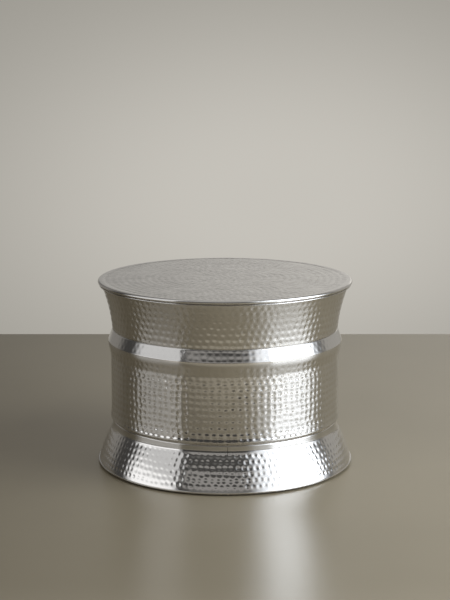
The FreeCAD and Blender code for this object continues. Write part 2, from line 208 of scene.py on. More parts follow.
class GeometryTree(Tree):
    """A Geometry Nodes tree with named inputs and one geometry output."""

    def __init__(self, name, inputs):
        super().__init__(bpy.data.node_groups.new(name, "GeometryNodeTree"))
        self.made.is_modifier = True
        face = self.made.interface
        self.keys = {}
        for title, kind in inputs.items():
            self.keys[title] = face.new_socket(title, in_out="INPUT", socket_type=kind).identifier
        face.new_socket("Geometry", in_out="OUTPUT", socket_type="NodeSocketGeometry")
        entry = self.made.nodes.new("NodeGroupInput")
        self.given = {title: Value(self, entry.outputs[title]) for title in inputs}

    def geometry(self, kind, settings=None, sockets=None, output=0):
        return self.node("GeometryNode" + kind, settings, sockets, output)

    def mark(self, name, kind="FLOAT"):
        """Read a mark, a number that each point carries under a name."""
        return self.geometry("InputNamedAttribute", {"data_type": kind}, {"Name": name})

    def keep(self, geometry, name, filling, kind="FLOAT"):
        """Leave a mark on each point."""
        sockets = {"Geometry": geometry, "Name": name, "Value": filling}
        return self.geometry("StoreNamedAttribute", {"data_type": kind, "domain": "POINT"}, sockets)

    def sample(self, geometry, filling, index, kind="FLOAT"):
        """What the point with that index has to say."""
        sockets = {"Geometry": geometry, "Value": filling, "Index": index}
        return self.geometry("SampleIndex", {"data_type": kind, "domain": "POINT"}, sockets)

    def random(self, low, high, identity, seed):
        """A random number between low and high that stays the same for the same identity."""
        sockets = {RANDOM_LOW: low, RANDOM_HIGH: high, "ID": identity, "Seed": seed}
        return self.node("FunctionNodeRandomValue", {"data_type": "FLOAT"}, sockets, RANDOM_RESULT)

    def finish(self, geometry, material):
        """End the tree with real geometry that carries its material."""
        real = self.geometry("RealizeInstances", {}, {"Geometry": geometry})
        done = self.geometry("SetMaterial", {}, {"Geometry": real, "Material": material})
        self.node("NodeGroupOutput", {}, {"Geometry": done})
        return self

    def run_on(self, piece, **given):
        """Run the tree on a piece and keep the result as the piece's plain mesh."""
        modifier = piece.modifiers.new(self.made.name, "NODES")
        modifier.node_group = self.made
        for title, filling in given.items():
            modifier[self.keys[title]] = filling
        evaluated = piece.evaluated_get(bpy.context.evaluated_depsgraph_get())
        mesh = bpy.data.meshes.new_from_object(evaluated)
        piece.modifiers.remove(modifier)
        piece.data = mesh


print("geometry tree builder ready")

# %% [markdown]
# ## The finishes
# The shells are a warm grey aluminium, polished enough to mirror a window but cloudy from handling.
# The lid is the same metal with a satin rub, which stops short of its rolled edge. Real metal is
# never one colour, so each finish drifts between two close tints and its gloss drifts too. The
# polishing wheel rides over the dents, so they stay a little darker, by a mark that the hammer work
# leaves on the mesh; the darkening is also painted shade, which makes the dents stand out more than
# their relief alone would. A picture of metal wrapped round the shells would show a seam, so every
# finish is worked out from the place on the piece. The pieces that only show from below get plain
# workshop finishes: zinc-plated steel, raw board and black moulded plastic.

# %% Finish helper


class Finish(Tree):
    """A material with one Principled shader. Constant values go straight onto its sockets."""

    def __init__(self, name, constants):
        self.material = bpy.data.materials.new(name)
        self.material.use_nodes = True
        super().__init__(self.material.node_tree)
        self.shader = self.made.nodes["Principled BSDF"]
        for socket, constant in constants.items():
            self.shader.inputs[socket].default_value = constant
        self.place = self.node("ShaderNodeTexCoord", {}, {}, "Object")

    def feed(self, socket, filling):
        self.made.links.new(filling.socket, self.shader.inputs[socket])

    def noise(self, scale, detail=3.0, stretch=(1, 1, 1)):
        """Cloudy noise from 0 to 1, in blobs of about one metre over scale."""
        place = self.node("ShaderNodeMapping", {}, {"Vector": self.place, "Scale": stretch})
        return self.node("ShaderNodeTexNoise", {}, {"Vector": place, "Scale": scale, "Detail": detail})

    def bump(self, height, depth):
        """Small relief that is too fine for the mesh."""
        self.feed("Normal", self.node("ShaderNodeBump", {}, {"Height": height, "Distance": depth}))


print("finish helper ready")

# %% Polished and satin metal
METAL_PALE = (0.80, 0.79, 0.78)
METAL_DEEP = (0.70, 0.69, 0.677)
TINT_CLOUDS = 11.0
ROUGHNESS_CLOUDS = 38.0
GRAIN_CLOUDS = 900.0
GRAIN_DEPTH = 0.00004
POLISHED = {"lowest": 0.06, "span": 0.09}
SATIN = {"lowest": 0.17, "span": 0.12}
DENT = "dent"
# the dent tint and its share: unpolished hollows, and painted shade that deepens the dents
HOLLOW_AND_SHADE_TINT = (0.42, 0.41, 0.40)
DENT_SHADE_SHARE = 0.15
EDGE_ROUGHNESS = 0.12
SATIN_ENDS = 0.005
POLISH_BEGINS = 0.003
SEAM_DARK = (0.14, 0.135, 0.13)
SEAM_PLACE = 0.006
SEAM_WIDTH = 0.0011
SEAM_LOW = 0.083
SEAM_HIGH = 0.103

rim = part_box("top_panel")[1]


def seam_mask(finish):
    """1 on the short upright hairline where the skirt's neck band was closed, on the camera's side."""
    x, y, z = finish.split(finish.place)
    return (abs(x - SEAM_PLACE) < SEAM_WIDTH / 2) * (y < 0.0) * (z > SEAM_LOW) * (z < SEAM_HIGH)


def face_mask(finish):
    """1 on the lid's flat face, 0 on its rolled edge."""
    x, y, _ = finish.split(finish.place)
    reach = finish.vector("LENGTH", {0: finish.join(x, y, 0.0)}, "Value")
    return 1.0 - reach.ramp(rim.x - SATIN_ENDS, rim.x - POLISH_BEGINS)


def sheet_metal(name, lowest, span, seamed=False, rubbed=False):
    """Sheet whose tint and roughness drift from place to place."""
    finish = Finish(name, {"Metallic": 1.0})
    dent = finish.node("ShaderNodeAttribute", {"attribute_name": DENT}, {}, "Fac")
    tint = finish.mixed(finish.noise(TINT_CLOUDS), METAL_DEEP, METAL_PALE)
    # dents are tinted darker: unpolished hollows, and painted shade that deepens them
    tint = finish.mixed(dent * DENT_SHADE_SHARE, tint, HOLLOW_AND_SHADE_TINT)
    if seamed:
        tint = finish.mixed(seam_mask(finish), tint, SEAM_DARK)
    roughness = finish.noise(ROUGHNESS_CLOUDS) * span + lowest
    grain = finish.noise(GRAIN_CLOUDS)
    if rubbed:
        face = face_mask(finish)
        roughness = (roughness - EDGE_ROUGHNESS) * face + EDGE_ROUGHNESS
        grain = grain * face
    finish.feed("Base Color", tint)
    finish.feed("Roughness", roughness)
    finish.bump(grain, GRAIN_DEPTH)
    return finish.material


polished_metal = sheet_metal("polished_metal", **POLISHED)
seamed_metal = sheet_metal("seamed_metal", **POLISHED, seamed=True)
satin_metal = sheet_metal("satin_metal", **SATIN, rubbed=True)
print("sheet metals:", polished_metal.name, seamed_metal.name, satin_metal.name)

# %% Workshop metals
ZINC_PALE = (0.66, 0.67, 0.66)
ZINC_DEEP = (0.48, 0.49, 0.50)
ZINC_CLOUDS = 160.0
ALLOY_PALE = (0.80, 0.80, 0.79)
ALLOY_DEEP = (0.62, 0.62, 0.62)
ALLOY_CLOUDS = 240.0
WORKSHOP_ROUGHNESS = 0.28
WORKSHOP_SPAN = 0.2
WORKSHOP_GRAIN = 1500.0


def workshop_metal(name, deep, pale, clouds):
    """Plain metal hardware, straight from its box."""
    finish = Finish(name, {"Metallic": 1.0})
    cloud = finish.noise(clouds)
    finish.feed("Base Color", finish.mixed(cloud, deep, pale))
    finish.feed("Roughness", cloud * WORKSHOP_SPAN + WORKSHOP_ROUGHNESS)
    finish.bump(finish.noise(WORKSHOP_GRAIN), GRAIN_DEPTH)
    return finish.material


zinc_steel = workshop_metal("zinc_steel", ZINC_DEEP, ZINC_PALE, ZINC_CLOUDS)
rivet_alloy = workshop_metal("rivet_alloy", ALLOY_DEEP, ALLOY_PALE, ALLOY_CLOUDS)
print("workshop metals:", zinc_steel.name, rivet_alloy.name)

# %% Board and plastic
BOARD_PALE = (0.56, 0.40, 0.24)
BOARD_DEEP = (0.36, 0.23, 0.12)
BOARD_GRAIN = {"scale": 60.0, "detail": 5.0, "stretch": (1.0, 0.06, 1.0)}
BOARD_FLECKS = {"scale": 420.0, "detail": 2.0, "stretch": (1.0, 0.2, 1.0)}
FLECK_SHARE = 0.25
FLECK_DEPTH = 0.0002
BOARD_ROUGHNESS = 0.62
PLASTIC_PALE = (0.045, 0.045, 0.047)
PLASTIC_DEEP = (0.018, 0.018, 0.019)
PLASTIC_CLOUDS = 120.0
PLASTIC_ROUGHNESS = 0.42
PLASTIC_GRAIN = 1800.0
PLASTIC_GRAIN_DEPTH = 0.00006
ROUGHNESS_SPAN = 0.2


def board_wood():
    """Raw board with a grain along Y."""
    finish = Finish("raw_board", {"Metallic": 0.0})
    grain = finish.noise(**BOARD_GRAIN)
    flecks = finish.noise(**BOARD_FLECKS)
    shade = grain * (1 - FLECK_SHARE) + flecks * FLECK_SHARE
    finish.feed("Base Color", finish.mixed(shade, BOARD_DEEP, BOARD_PALE))
    finish.feed("Roughness", flecks * ROUGHNESS_SPAN + BOARD_ROUGHNESS)
    finish.bump(flecks, FLECK_DEPTH)
    return finish.material


def moulded_plastic():
    """Black plastic with the faint grain of its mould."""
    finish = Finish("moulded_plastic", {"Metallic": 0.0})
    cloud = finish.noise(PLASTIC_CLOUDS)
    finish.feed("Base Color", finish.mixed(cloud, PLASTIC_DEEP, PLASTIC_PALE))
    finish.feed("Roughness", cloud * ROUGHNESS_SPAN + PLASTIC_ROUGHNESS)
    finish.bump(finish.noise(PLASTIC_GRAIN), PLASTIC_GRAIN_DEPTH)
    return finish.material


raw_board = board_wood()
black_plastic = moulded_plastic()
print("other finishes:", raw_board.name, black_plastic.name)

# %% [markdown]
# ## Drawing a bent sheet
# A spun shell is fully told by its section: the line that the sheet follows from its inner flange,
# round a bend, up the wall and over the next bend. The line is drawn through corners, each with the
# radius of its bend, as on a workshop drawing. The inner face runs one sheet thickness beside it. A
# Solidify modifier would give that face too, but it would copy every dent to the inside.

# %% Section drawing
MM = 0.001
FINE_STEP = 2.2 * MM
COARSE_STEP = 7 * MM
BEND_ROOM = 7 * MM


def unit(vector):
    return vector / np.linalg.norm(vector)


def bow(start, end, radius, side):
    """Points along an arc that swells to the left (1) or right (-1) of its way, short of both ends."""
    start, end = np.array(start), np.array(end)
    length = np.linalg.norm(end - start)
    along = unit(end - start)
    outward = np.array((-along[1], along[0])) * side
    centre = (start + end) / 2 - outward * math.sqrt(radius**2 - length**2 / 4)
    swing = math.asin(length / 2 / radius)
    turns = np.linspace(-swing, swing, math.ceil(length / FINE_STEP) + 1)
    places = [centre + radius * (along * math.sin(turn) + outward * math.cos(turn)) for turn in turns]
    return [place for place in places if BEND_ROOM < (place - start) @ along < length - BEND_ROOM]


def bend_points(before, here, after, radius, turn_step):
    """Points round a bend of the given radius at a corner."""
    back, ahead = unit(before - here), unit(after - here)
    half = math.acos(np.clip(back @ ahead, -1, 1)) / 2
    turn = math.pi - 2 * half
    centre = here + unit(back + ahead) * radius / math.sin(half)
    first = here + back * radius / math.tan(half) - centre
    last = here + ahead * radius / math.tan(half) - centre
    shares = np.linspace(0, 1, max(1, math.ceil(turn / turn_step)) + 1)
    swung = [first * math.sin(turn * (1 - share)) + last * math.sin(turn * share) for share in shares]
    return [centre + place / math.sin(turn) for place in swung]


def bent(corners, turn_step):
    """The line through corners of (radius, height) or (radius, height, bend radius)."""
    places = [np.array(corner[:2]) for corner in corners]
    line = [places[0]]
    for before, here, after, corner in zip(places, places[1:], places[2:], corners[1:]):
        line += bend_points(before, here, after, corner[2], turn_step) if len(corner) > 2 else [here]
    return np.array([*line, places[-1]])


def divided(line, covered):
    """The line with enough points to be hammered where it is covered by blows."""
    points = [line[0]]
    for start, end in zip(line, line[1:]):
        step = FINE_STEP if covered((start[1] + end[1]) / 2) > 0 else COARSE_STEP
        parts = max(1, round(np.linalg.norm(end - start) / step))
        points += [start + (end - start) * part / parts for part in range(1, parts + 1)]
    return np.array(points)


def inner_face(points, depth):
    """The same line, one sheet thickness to the left of its way."""
    ways = [unit(end - start) for start, end in zip(points, points[1:])]
    lefts = [np.array((-way[1], way[0])) for way in ways]
    shifts = [lefts[0]]
    shifts += [(one + two) / (1 + one @ two) for one, two in zip(lefts, lefts[1:])]
    shifts.append(lefts[-1])
    return points + depth * np.array(shifts)


print("section drawing ready")

# %% [markdown]
# ## Spinning the section
# On the lathe a flat blank turns while a roller presses it to shape, so every shell is the same all
# the way round. Here the section is a loop of edges, left open only for the lid, and Curve to Mesh
# sweeps it along a circle. Each point of the loop carries two numbers: how strongly it will be
# hammered, and how far it lies inside a stretch where rows of blows may run. A Screw modifier would
# spin it as well, but a tree of nodes names its inputs and can be read like the one that follows.

# %% Spin tree
PIVOT_RADIUS = 1.0
SPIN_INPUTS = {
    "Section": "NodeSocketGeometry",
    "Columns": "NodeSocketInt",
    "Metal": "NodeSocketMaterial",
}


def build_spin():
    tree = GeometryTree("Spin a section", SPIN_INPUTS)
    loop = tree.geometry("MeshToCurve", {}, {"Mesh": tree.given["Section"]})
    circle = {"Resolution": tree.given["Columns"], "Radius": PIVOT_RADIUS}
    path = tree.geometry("CurvePrimitiveCircle", {"mode": "RADIUS"}, circle)
    swept = tree.geometry("CurveToMesh", {}, {"Curve": path, "Profile Curve": loop})
    return tree.finish(swept, tree.given["Metal"])


spin = build_spin()


def section_piece(name, points, marks, closed=True):
    """A marked line of edges, drawn flat and backwards so that the spun faces look outwards."""
    places = [(radius - PIVOT_RADIUS, -height, 0) for radius, height in points[::-1]]
    edges = [(index, index + 1) for index in range(len(points) - 1)]
    if closed:
        edges.append((len(points) - 1, 0))
    mesh = bpy.data.meshes.new(name)
    mesh.from_pydata(places, edges, [])
    for mark, values in marks.items():
        mesh.attributes.new(mark, "FLOAT", "POINT").data.foreach_set("value", values[::-1])
    piece = bpy.data.objects.new(name, mesh)
    scene.collection.objects.link(piece)
    return piece


print("spin tree:", len(spin.made.nodes), "nodes")

# %% [markdown]
# ## The hammer blows
# The smith works round the shell row by row. Each blow leaves a shallow round dent, and no two blows
# are quite alike in place or force. A bump texture would shade the dents but leave the outline and
# the mesh smooth, so the dents are real. Geometry Nodes set one point per blow: rows evenly spaced
# along the section, and in each row as many blows as fit the girth. Every vertex then asks for its
# nearest blow and sinks by a bowl-shaped amount, which it also keeps as a mark for the finish. A slow
# wave adds the unevenness of beaten sheet: walls wander in a little, and a flat face sags a little.

# %% Blows in rows
NEAR = 1e-5
FULLY = 0.97
ROWS_HERE = "rows_here"
ROW = "row"
FORCE = "force"
ROW_SHIFT = 0.35
SCATTER_DRAWS = (1, 2, 3)
FORCE_DRAW = 4
FORCE_LOW = 0.75
FORCE_HIGH = 1.1
MOOD_CLOUDS = 9.0
MOOD_STEP = (0.35, 0.65)
MOOD_LOWEST = 0.65
SLOW_DETAIL = 1.0


def slow_noise(tree, clouds):
    """Soft noise over the place of each point."""
    sockets = {"Vector": tree.geometry("InputPosition"), "Scale": clouds, "Detail": SLOW_DETAIL}
    return tree.node("ShaderNodeTexNoise", {}, sockets)


def set_rows(tree):
    """One point per row, along the line where the hammered face passes over the X axis."""
    x, y, _ = tree.split(tree.geometry("InputPosition"))
    over_axis = (abs(y) < NEAR) * (x > -NEAR) * (tree.mark(ROWS_HERE) > FULLY)
    chosen = {"Geometry": tree.given["Sheet"], "Selection": over_axis}
    face = tree.geometry("SeparateGeometry", {"domain": "POINT"}, chosen)
    line = tree.geometry("MeshToCurve", {}, {"Mesh": face})
    spaced = {"Curve": line, "Length": tree.given["Row pitch"]}
    rows = tree.geometry("CurveToPoints", {"mode": "LENGTH"}, spaced)
    return tree.keep(rows, ROW, tree.geometry("InputIndex"), "INT")


def set_blows(tree, rows):
    """Each row repeated round its girth, with a start of its own, a little scatter and a force."""
    given = tree.given
    index = tree.geometry("InputIndex")
    x, _, z = tree.split(tree.geometry("InputPosition"))
    girth_count = (x * math.tau / given["Blow pitch"]).rounded().at_least(1.0)
    repeated = {"Geometry": rows, "Amount": girth_count}
    blows = tree.geometry("DuplicateElements", {"domain": "POINT"}, repeated)
    start = tree.random(-ROW_SHIFT, ROW_SHIFT, tree.mark(ROW, "INT"), given["Seed"])
    draws = [tree.random(-1.0, 1.0, index, given["Seed"] + draw) for draw in SCATTER_DRAWS]
    aside, out, lift = (draw * given["Scatter"] for draw in draws)
    step = blows.other("Duplicate Index")
    angle = (step + start) * math.tau / girth_count + aside / x.at_least(NEAR)
    spot = tree.join((x + out) * angle.cosine(), (x + out) * angle.sine(), z + lift)
    blows = tree.geometry("SetPosition", {}, {"Geometry": blows, "Position": spot})
    mood = slow_noise(tree, MOOD_CLOUDS).ramp(*MOOD_STEP) * (1 - MOOD_LOWEST) + MOOD_LOWEST
    force = tree.random(FORCE_LOW, FORCE_HIGH, index, given["Seed"] + FORCE_DRAW)
    return tree.keep(blows, FORCE, force * mood)


print("rows and blows ready")

# %% Hammer tree
HAMMERED = "hammered"
BOWL_POWER = 1.5
WAVE_CLOUDS = 26.0
HAMMER_INPUTS = {
    "Sheet": "NodeSocketGeometry",
    "Row pitch": "NodeSocketFloat",
    "Blow pitch": "NodeSocketFloat",
    "Dent radius": "NodeSocketFloat",
    "Dent depth": "NodeSocketFloat",
    "Scatter": "NodeSocketFloat",
    "Wave depth": "NodeSocketFloat",
    "Sag depth": "NodeSocketFloat",
    "Seed": "NodeSocketInt",
    "Metal": "NodeSocketMaterial",
}


def build_hammer():
    tree = GeometryTree("Hammer blows", HAMMER_INPUTS)
    given = tree.given
    blows = set_blows(tree, set_rows(tree))
    place = tree.geometry("InputPosition")
    strength = tree.mark(HAMMERED)

    # dents: the nearest blow sinks each vertex along its normal
    nearest = tree.geometry("SampleNearest", {"domain": "POINT"}, {"Geometry": blows})
    centre = tree.sample(blows, place, nearest, "FLOAT_VECTOR")
    force = tree.sample(blows, tree.mark(FORCE), nearest)
    reach = tree.vector("DISTANCE", {0: place, 1: centre}, "Value") / given["Dent radius"]
    bowl = (1.0 - reach * reach).at_least(0.0).power(BOWL_POWER)
    marked = tree.keep(given["Sheet"], DENT, bowl * force * strength)
    sink = tree.mark(DENT) * given["Dent depth"]
    dent = tree.vector("SCALE", {0: tree.geometry("InputNormal"), "Scale": 0.0 - sink})

    # wave: an upright wall wanders in a little, both faces alike, and a flat face sags a little
    x, y, _ = tree.split(place)
    girth_way = tree.vector("NORMALIZE", {0: tree.join(x, y, 0.0)})
    swell = slow_noise(tree, WAVE_CLOUDS)
    wave = tree.vector("SCALE", {0: girth_way, "Scale": 0.0 - swell * given["Wave depth"]})
    sag = tree.join(0.0, 0.0, 0.0 - swell * strength * given["Sag depth"])
    offset = tree.vector("ADD", {0: tree.vector("ADD", {0: dent, 1: wave}), 1: sag})
    moved = tree.geometry("SetPosition", {}, {"Geometry": marked, "Offset": offset})
    return tree.finish(moved, given["Metal"])


hammer = build_hammer()
print("hammer tree:", len(hammer.made.nodes), "nodes")

# %% [markdown]
# ## Sizes of the shells
# The outer sizes are read from the boxes of the CAD nodes, so the sheets stay where the frame is.
# Typing them in would be shorter, but a changed part would then no longer fit. The bends and steps
# between them are the drawing's own values, in millimetres.

# %% Shell sizes
SHEET = 1.2 * MM
BEND = 2.4 * MM
FLANGE = 22 * MM
RIDGE_PROJECTION = 6 * MM
UPPER_NECK_DEPTH = 3.7 * MM
LOWER_NECK_DEPTH = 3 * MM

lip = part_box("upper_shell")[1]
ridge_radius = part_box("middle_shell")[1].x
hem_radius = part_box("lower_shell")[1].x
floor_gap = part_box("lower_shell")[0].z
upper_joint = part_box("upper_shell")[0].z
lower_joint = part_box("lower_shell")[1].z
drum_radius = ridge_radius - RIDGE_PROJECTION
upper_neck = drum_radius - UPPER_NECK_DEPTH
lower_neck = drum_radius - LOWER_NECK_DEPTH
print("lip", round(lip.x, 4), "ridge", round(ridge_radius, 4), "hem", round(hem_radius, 4))

# %% Making a shell
FINE_BEND = math.radians(14)
COARSE_BEND = math.radians(45)
SHARP_ANGLE = math.radians(38)
WALL_BLOWS = {
    "Row pitch": 14.1 * MM,
    "Blow pitch": 15.6 * MM,
    "Dent radius": 6.9 * MM,
    "Dent depth": 0.92 * MM,
    "Scatter": 1.5 * MM,
    "Wave depth": 0.12 * MM,
    "Sag depth": 0.0,
}


def fade(heights, low, high, soft):
    """1 between two heights, with a soft end at each."""
    up = np.clip((heights - low) / soft, 0, 1)
    down = np.clip((high - heights) / soft, 0, 1)
    return (up * up * (3 - 2 * up)) * (down * down * (3 - 2 * down))


def hammer_piece(piece, node, metal, blows):
    """Hammer a smooth sheet and let it stand for a CAD node."""
    hammer.run_on(piece, Metal=metal, **blows)
    piece.data.shade_smooth()
    piece.data.set_sharp_from_angle(angle=SHARP_ANGLE)
    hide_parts(node)
    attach(piece, "root")
    triangles = sum(len(face.vertices) - 2 for face in piece.data.polygons)
    print(piece.name, "triangles:", triangles)


def make_shell(name, outer_corners, inner_corners, bands, columns, blows, seed, metal):
    """Draw, spin and hammer one shell. A band has a low and a high end, a soft length and a share."""

    def covered(heights):
        return sum(fade(heights, low, high, soft) for low, high, soft, _ in bands)

    def strength(heights):
        return sum(share * fade(heights, low, high, soft) for low, high, soft, share in bands)

    outer = divided(bent(outer_corners, FINE_BEND), covered)
    inner = inner_face(bent(inner_corners, COARSE_BEND), SHEET)[::-1]
    plain = np.zeros(len(inner))
    marks = {
        HAMMERED: np.concatenate([strength(outer[:, 1]), plain]),
        ROWS_HERE: np.concatenate([covered(outer[:, 1]), plain]),
    }
    piece = section_piece(f"{name}_hammered", np.vstack([outer, inner]), marks)
    spin.run_on(piece, Columns=columns, Metal=metal)
    hammer_piece(piece, name, metal, {**blows, "Seed": seed})


print("row pitch", WALL_BLOWS["Row pitch"], "blow pitch", WALL_BLOWS["Blow pitch"])

# %% [markdown]
# ## The collar
# The collar flares from the neck to the rim in one long curve. Its top is folded out and back, which
# leaves a round lip two sheets deep just under the lid, and its foot turns in to a riveted flange. A
# free curve could follow the flare as well, but one arc has a radius that the CAD part shares.

# %% Collar
FLARE_RADIUS = 380 * MM
INNER_THINNING = 6
LIP_OVERHANG = 5 * MM
NEARLY_HALF_ROUND = 0.98
LIP_FOLD = SHEET * NEARLY_HALF_ROUND
SOFT_END = 7 * MM
PLAIN_END = 1 * MM
COLLAR_PLAIN_FOOT = 2 * MM
FULL_FORCE = 1.0

lip_foot = lip.z - 2 * SHEET
collar_radius = lip.x - LIP_OVERHANG
collar_start = [(upper_neck - FLANGE, upper_joint), (upper_neck, upper_joint, BEND)]
flare = bow((upper_neck, upper_joint), (collar_radius, lip.z), FLARE_RADIUS, 1)
flare_end = flare[-1]
wall_under_lip = collar_radius - 2 * SHEET * (collar_radius - flare_end[0]) / (lip.z - flare_end[1])
collar_outer = [
    *collar_start,
    *flare,
    (wall_under_lip, lip_foot),
    (lip.x, lip_foot, LIP_FOLD),
    (lip.x, lip.z, LIP_FOLD),
    (collar_radius - SHEET, lip.z),
]
make_shell(
    "upper_shell",
    outer_corners=collar_outer,
    inner_corners=[*collar_start, *flare[::INNER_THINNING], (collar_radius, lip.z)],
    bands=[(upper_joint + COLLAR_PLAIN_FOOT, lip_foot - PLAIN_END, SOFT_END, FULL_FORCE)],
    columns=860,
    blows=WALL_BLOWS,
    seed=11,
    metal=polished_metal,
)

# %% [markdown]
# ## The drum
# The drum is the tallest shell. A sharp ridge stands out under its neck, with a steep cone above it
# and a soft cove below, and the foot splays out a little before it turns in to the lower joint. The
# ridge could be cut from a plain tube with booleans, but they leave uneven faces that dent badly, so
# it is part of the section. The cone above the ridge is struck only lightly.

# %% Drum
SPLAY_RADIUS = 230 * MM
SPLAY_PROJECTION = 2.4 * MM
SPLAY_EDGE_RISE = 6.5 * MM
SPLAY_RISE = 33.5 * MM
COVE = 40 * MM
COVE_DROP = 23 * MM
RIDGE_BEND = 2.5 * MM
RIDGE_DROP = 27 * MM
RIDGE_LAND = 10 * MM
CONE_PLAIN_END = 0.5 * MM
CONE_SOFT_END = 5.5 * MM
CONE_FORCE = 0.3

splay = (drum_radius + SPLAY_PROJECTION, lower_joint + SPLAY_EDGE_RISE)
wall_foot = (drum_radius, splay[1] + SPLAY_RISE)
ridge_top = upper_joint - RIDGE_DROP
ridge_foot = ridge_top - RIDGE_LAND
drum_foot = [(lower_neck - FLANGE, lower_joint), (lower_neck, lower_joint, BEND), (*splay, RIDGE_BEND)]
drum_rest = [
    wall_foot,
    (drum_radius, ridge_foot - COVE_DROP, COVE),
    (ridge_radius, ridge_foot, COVE),
    (ridge_radius, ridge_top, RIDGE_BEND),
    (upper_neck, upper_joint, BEND),
    (upper_neck - FLANGE, upper_joint),
]
drum_bow = bow(splay, wall_foot, SPLAY_RADIUS, 1)
make_shell(
    "middle_shell",
    outer_corners=[*drum_foot, *drum_bow, *drum_rest],
    inner_corners=[*drum_foot, *drum_bow[::INNER_THINNING], *drum_rest],
    bands=[
        (splay[1] + PLAIN_END, ridge_foot - PLAIN_END, SOFT_END, FULL_FORCE),
        (ridge_top + CONE_PLAIN_END, upper_joint - CONE_PLAIN_END, CONE_SOFT_END, CONE_FORCE),
    ],
    columns=720,
    blows=WALL_BLOWS,
    seed=23,
    metal=polished_metal,
)

# %% [markdown]
# ## The skirt
# A plain band below the joint opens into a skirt that swells out to the floor. A narrow hem stiffens
# its edge, and the base flange inside it carries the glides. The hem could be a ring of its own, but
# then its edge would gape at the wall, so it is a step in the outer line. The smith used a smaller
# hammer here, so the rows are closer.

# %% Skirt
SKIRT_BOW = 450 * MM
HEM_STEP = 0.8 * MM
HEM_DEPTH = 3.6 * MM
BASE_FLANGE = 25 * MM
NECK_BAND_DEPTH = 16 * MM
NECK_ROUND = 24 * MM
SKIRT_PLAIN_FOOT = 4 * MM
SKIRT_BLOWS = {
    **WALL_BLOWS,
    "Row pitch": 12.8 * MM,
    "Blow pitch": 14 * MM,
    "Dent radius": 6.2 * MM,
    "Dent depth": 0.75 * MM,
}

skirt_radius = hem_radius - HEM_STEP
band_foot = lower_joint - NECK_BAND_DEPTH
skirt_wall = bow((skirt_radius, floor_gap), (lower_neck, band_foot), SKIRT_BOW, -1)
skirt_start = skirt_wall[0]
skirt_end = [
    (lower_neck, band_foot, NECK_ROUND),
    (lower_neck, lower_joint, BEND),
    (lower_neck - FLANGE, lower_joint),
]
hem_top = floor_gap + HEM_DEPTH
hem_lean = HEM_DEPTH * (skirt_radius - skirt_start[0]) / (skirt_start[1] - floor_gap)
flange_edge = (hem_radius - BASE_FLANGE, floor_gap)
skirt_outer = [
    flange_edge,
    (hem_radius, floor_gap, HEM_STEP),
    (hem_radius, hem_top, HEM_STEP),
    (skirt_radius - hem_lean, hem_top),
    *skirt_wall,
    *skirt_end,
]
make_shell(
    "lower_shell",
    outer_corners=skirt_outer,
    inner_corners=[flange_edge, (skirt_radius, floor_gap), *skirt_wall[::INNER_THINNING], *skirt_end],
    bands=[(hem_top + SKIRT_PLAIN_FOOT, band_foot - PLAIN_END, SOFT_END, FULL_FORCE)],
    columns=860,
    blows=SKIRT_BLOWS,
    seed=37,
    metal=seamed_metal,
)

# %% [markdown]
# ## The lid
# The lid is a flat sheet whose edge is rolled down and under round a wire. Its face is hammered more
# lightly, in rings, and sags a little here and there. A fan of triangles from the middle would give
# slivers there, so the flat is a square grid pressed into a disc, ring by ring, which keeps its cells
# near the same size. Its edge has evenly spaced points, so the spun roll welds onto it.

# %% Round grid
GRID_CELLS = 240


def round_grid(cells, radius):
    """Points and faces of a square grid pressed into a disc."""
    side = np.linspace(-1, 1, cells + 1)
    a, b = np.meshgrid(side, side, indexing="ij")
    steep = np.abs(b) > np.abs(a)
    reach, aside = np.where(steep, b, a), np.where(steep, a, b)
    turn = np.divide(aside, reach, out=np.zeros_like(reach), where=reach != 0) * math.pi / 4
    long, short = reach * np.cos(turn), reach * np.sin(turn)
    places = np.stack([np.where(steep, short, long), np.where(steep, long, short)], -1)
    corner = (np.arange(cells)[:, None] * (cells + 1) + np.arange(cells)).ravel()
    faces = np.stack([corner, corner + cells + 1, corner + cells + 2, corner + 1], -1)
    return places.reshape(-1, 2) * radius, faces


print("lid grid:", GRID_CELLS, "cells across")

# %% Lid
ROLL_RADIUS = 4.2 * MM
WIRE_BORE = 3.0 * MM
ROLL_TOP_DEG = 90
ROLL_END_DEG = -180
OUTSIDE_PARTS = 18
INSIDE_PARTS = 10
FLAT_EDGE = 5 * MM
PLAIN_BORDER = 2 * MM
SOFT_BORDER = 7 * MM
WELD = 0.05 * MM
LID_BLOWS = {
    "Row pitch": 15 * MM,
    "Blow pitch": 15 * MM,
    "Dent radius": 8 * MM,
    "Dent depth": 0.4 * MM,
    "Scatter": 1.6 * MM,
    "Wave depth": 0.0,
    "Sag depth": 0.8 * MM,
    "Seed": 53,
}
roll_centre = rim.x - ROLL_RADIUS
roll_height = rim.z - ROLL_RADIUS
flat_radius = roll_centre - FLAT_EDGE


def roll_arc(radius, first_deg, last_deg, parts):
    """Points round the rolled edge, from one angle to another."""
    turns = np.radians(np.linspace(first_deg, last_deg, parts + 1))
    return np.stack([roll_centre + radius * np.cos(turns), roll_height + radius * np.sin(turns)], -1)


def spin_rolled_edge():
    """The border of the face, its rolled edge and the whole underside."""
    edge = [(flat_radius, rim.z), ((flat_radius + roll_centre) / 2, rim.z), (roll_centre, rim.z)]
    outside = roll_arc(ROLL_RADIUS, ROLL_TOP_DEG, ROLL_END_DEG, OUTSIDE_PARTS)[1:]
    inside = roll_arc(WIRE_BORE, ROLL_END_DEG, ROLL_TOP_DEG, INSIDE_PARTS)
    section = np.vstack([edge, outside, inside, [(0, inside[-1][1])]])
    plain = np.zeros(len(section))
    piece = section_piece("lid_hammered", section, {HAMMERED: plain, ROWS_HERE: plain}, closed=False)
    spin.run_on(piece, Columns=4 * GRID_CELLS, Metal=satin_metal)
    return piece


